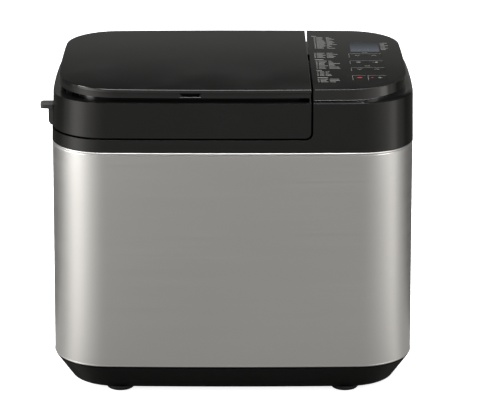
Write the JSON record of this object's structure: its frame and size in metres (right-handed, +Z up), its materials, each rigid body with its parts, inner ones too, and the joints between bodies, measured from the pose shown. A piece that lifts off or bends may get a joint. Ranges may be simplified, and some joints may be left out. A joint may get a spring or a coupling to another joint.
{
  "type": "bread machine",
  "caption": "Countertop bread machine with a brushed steel case, hinged lid and dispenser cover, side console, oven chamber, removable loaf pan and belt-driven kneading blade.",
  "frame": {"origin": "on the floor under the middle of the overall box, between the feet", "axes": "+Z up, front of the machine towards -Y, control console at +X, lift tab of the lid at -X"},
  "size_m": [0.4022, 0.2524, 0.3542],
  "materials": {
    "case_black": "fine satin moulded",
    "satin_black": "satin moulded",
    "gloss_black": "gloss",
    "brushed_steel": "fine brushed, lacquered",
    "plated_steel": "zinc plated",
    "bright_steel": "polished",
    "rubber_black": "matte",
    "silicone_grey": "matte",
    "pan_coating": "dark non-stick coating",
    "liner_metal": "satin",
    "oven_coating": "satin heat-proof coating",
    "heater_metal": "oxidised",
    "bronze": "sintered",
    "board_green": "solder mask",
    "screen": "dark display glass",
    "belt_rubber": "matte",
    "motor_metal": "satin"
  },
  "bodies": {
    "case": {"base_tray": "case_black", "rubber_feet": "rubber_black", "chassis_plate": "plated_steel", "chassis_screws": "plated_steel", "steel_jacket": "brushed_steel", "jacket_screws": "bright_steel", "power_inlet": "case_black", "inlet_pins": "bright_steel", "top_frame": "satin_black", "lid_hinge_pins": "bright_steel", "console_panel": "gloss_black", "display_window": "screen", "control_board": "board_green", "oven_chamber": "oven_coating", "chamber_brackets": "plated_steel", "heater_element": "heater_metal", "temperature_sensor": "bright_steel", "pan_seat": "plated_steel", "heat_shield": "plated_steel", "power_board": "board_green", "bearing_housing": "liner_metal", "spindle_bushes": "bronze", "drive_belt": "belt_rubber", "motor": "motor_metal", "motor_mounts": "rubber_black"},
    "lid": {"lid_shell": "satin_black", "steam_vent": "case_black", "lift_tab": "satin_black", "lid_liner": "liner_metal", "lid_gasket": "silicone_grey", "lid_screws": "plated_steel", "fruit_bin": "liner_metal", "yeast_cup": "case_black", "lid_pins": "bright_steel", "latch_solenoid": "plated_steel"},
    "cover": {"cover_tray": "case_black", "cover_plate": "gloss_black"},
    "fruit_door": {"fruit_flap": "liner_metal"},
    "yeast_door": {"yeast_flap": "case_black"},
    "pan": {"bread_pan": "pan_coating", "pan_foot": "liner_metal", "pan_bearing": "bronze", "handle_ears": "liner_metal"},
    "bail": {"pan_handle": "bright_steel"},
    "kneader": {"pan_shaft": "bright_steel", "drive_wing": "plated_steel", "kneading_blade": "pan_coating"},
    "spindle": {"drive_spindle": "bright_steel", "drive_coupling": "plated_steel", "large_pulley": "case_black"},
    "rotor": {"motor_shaft": "bright_steel", "motor_pulley": "plated_steel"},
    "timer_down_key": {"timer_down_key": "gloss_black"},
    "timer_up_key": {"timer_up_key": "gloss_black"},
    "option_down_key": {"option_down_key": "gloss_black"},
    "option_up_key": {"option_up_key": "gloss_black"},
    "menu_down_key": {"menu_down_key": "gloss_black"},
    "menu_up_key": {"menu_up_key": "gloss_black"},
    "stop_key": {"stop_key": "gloss_black"},
    "start_key": {"start_key": "gloss_black"}
  },
  "joints": [
    {"name": "lid_hinge", "type": "hinge", "parent": "case", "child": "lid", "pos_m": [-0.0528, 0.1194, 0.3], "axis": [-1, 0, 0], "range_deg": [0, 80]},
    {"name": "cover_hinge", "type": "hinge", "parent": "lid", "child": "cover", "pos_m": [-0.0528, 0.1145, 0.3412], "axis": [-1, 0, 0], "range_deg": [0, 85]},
    {"name": "fruit_door_hinge", "type": "hinge", "parent": "lid", "child": "fruit_door", "pos_m": [-0.0578, 0.089, 0.3015], "axis": [1, 0, 0], "range_deg": [0, 70], "stiffness_Nm_per_rad": 0.04, "springref_deg": -57.3},
    {"name": "yeast_door_hinge", "type": "hinge", "parent": "lid", "child": "yeast_door", "pos_m": [-0.1368, 0.069, 0.3015], "axis": [1, 0, 0], "range_deg": [0, 70], "stiffness_Nm_per_rad": 0.006, "springref_deg": -57.3},
    {"name": "pan_turn", "type": "hinge", "parent": "case", "child": "pan", "pos_m": [-0.0528, 0, 0.08], "axis": [0, 0, 1], "range_deg": [0, 12]},
    {"name": "bail_swing", "type": "hinge", "parent": "pan", "child": "bail", "pos_m": [-0.0528, 0, 0.235], "axis": [-1, 0, 0], "range_deg": [0, 90]},
    {"name": "kneader_spin", "type": "hinge", "parent": "pan", "child": "kneader", "pos_m": [-0.0528, 0, 0.095], "axis": [0, 0, 1], "continuous": true},
    {"name": "spindle_spin", "type": "hinge", "parent": "case", "child": "spindle", "pos_m": [-0.0528, 0, 0.05], "axis": [0, 0, 1], "continuous": true},
    {"name": "motor_spin", "type": "hinge", "parent": "case", "child": "rotor", "pos_m": [0.1392, 0, 0.05], "axis": [0, 0, 1], "continuous": true},
    {"name": "timer_down_press", "type": "slide", "parent": "case", "child": "timer_down_key", "axis": [0, 0.0295, -0.9996], "range_m": [0, 0.0005], "stiffness_N_per_m": 400, "springref_m": -0.0005},
    {"name": "timer_up_press", "type": "slide", "parent": "case", "child": "timer_up_key", "axis": [0, 0.0295, -0.9996], "range_m": [0, 0.0005], "stiffness_N_per_m": 400, "springref_m": -0.0005},
    {"name": "option_down_press", "type": "slide", "parent": "case", "child": "option_down_key", "axis": [0, 0.0295, -0.9996], "range_m": [0, 0.0005], "stiffness_N_per_m": 400, "springref_m": -0.0005},
    {"name": "option_up_press", "type": "slide", "parent": "case", "child": "option_up_key", "axis": [0, 0.0295, -0.9996], "range_m": [0, 0.0005], "stiffness_N_per_m": 400, "springref_m": -0.0005},
    {"name": "menu_down_press", "type": "slide", "parent": "case", "child": "menu_down_key", "axis": [0, 0.0295, -0.9996], "range_m": [0, 0.0005], "stiffness_N_per_m": 400, "springref_m": -0.0005},
    {"name": "menu_up_press", "type": "slide", "parent": "case", "child": "menu_up_key", "axis": [0, 0.0295, -0.9996], "range_m": [0, 0.0005], "stiffness_N_per_m": 400, "springref_m": -0.0005},
    {"name": "stop_press", "type": "slide", "parent": "case", "child": "stop_key", "axis": [0, 0.0295, -0.9996], "range_m": [0, 0.0005], "stiffness_N_per_m": 400, "springref_m": -0.0005},
    {"name": "start_press", "type": "slide", "parent": "case", "child": "start_key", "axis": [0, 0.0295, -0.9996], "range_m": [0, 0.0005], "stiffness_N_per_m": 400, "springref_m": -0.0005}
  ],
  "couplings": [
    {"joint": "kneader_spin", "follows": "spindle_spin", "ratio": 1},
    {"joint": "motor_spin", "follows": "spindle_spin", "ratio": 6.1333}
  ]
}
